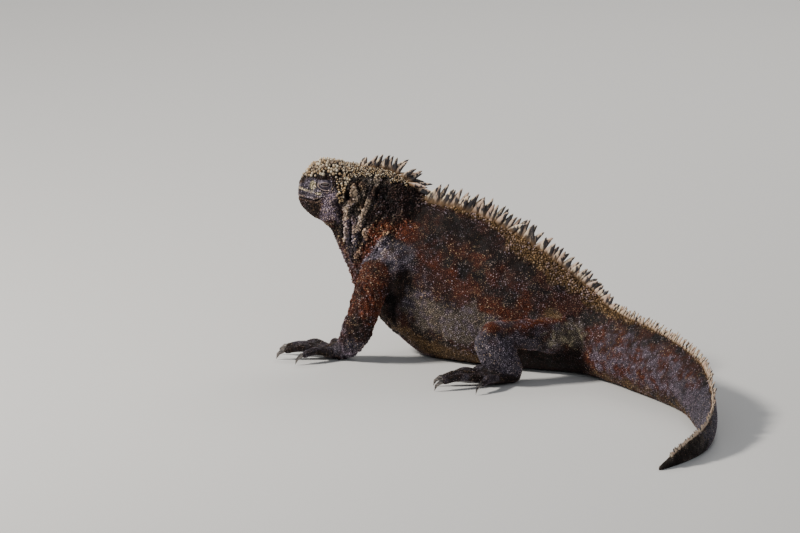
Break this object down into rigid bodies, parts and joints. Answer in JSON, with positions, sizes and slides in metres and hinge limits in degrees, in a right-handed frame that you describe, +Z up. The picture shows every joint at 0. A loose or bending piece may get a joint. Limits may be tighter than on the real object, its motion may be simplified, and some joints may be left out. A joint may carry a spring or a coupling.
{
  "type": "marine iguana",
  "caption": "Life-size still model of an adult marine iguana, propped on its forelegs with its belly and curved tail on the floor.",
  "frame": {"origin": "on the floor under the middle of the belly", "axes": "-X is the way the animal faces and +X runs towards its tail, -Y is its left side, +Z is up"},
  "size_m": [0.7427, 0.6362, 0.272],
  "materials": {
    "skin": "dry scaly skin, charcoal with rust-brown",
    "claw": "dark horn with a soft gloss",
    "eye": "wet gloss"
  },
  "bodies": {
    "root": {"head": "skin", "neck": "skin", "torso": "skin", "tail_1": "skin", "tail_2": "skin", "tail_3": "skin", "tail_4": "skin", "left_fore_upper_arm": "skin", "left_fore_forearm": "skin", "left_fore_hand": "skin", "left_hind_thigh": "skin", "left_hind_shank": "skin", "left_hind_foot": "skin", "right_fore_upper_arm": "skin", "right_fore_forearm": "skin", "right_fore_hand": "skin", "right_hind_thigh": "skin", "right_hind_shank": "skin", "right_hind_foot": "skin", "left_fore_claw_1": "claw", "left_fore_claw_2": "claw", "left_fore_claw_3": "claw", "left_fore_claw_4": "claw", "left_fore_claw_5": "claw", "left_hind_claw_1": "claw", "left_hind_claw_2": "claw", "left_hind_claw_3": "claw", "left_hind_claw_4": "claw", "left_hind_claw_5": "claw", "right_fore_claw_1": "claw", "right_fore_claw_2": "claw", "right_fore_claw_3": "claw", "right_fore_claw_4": "claw", "right_fore_claw_5": "claw", "right_hind_claw_1": "claw", "right_hind_claw_2": "claw", "right_hind_claw_3": "claw", "right_hind_claw_4": "claw", "right_hind_claw_5": "claw", "left_eye": "eye", "right_eye": "eye"}
  },
  "joints": []
}
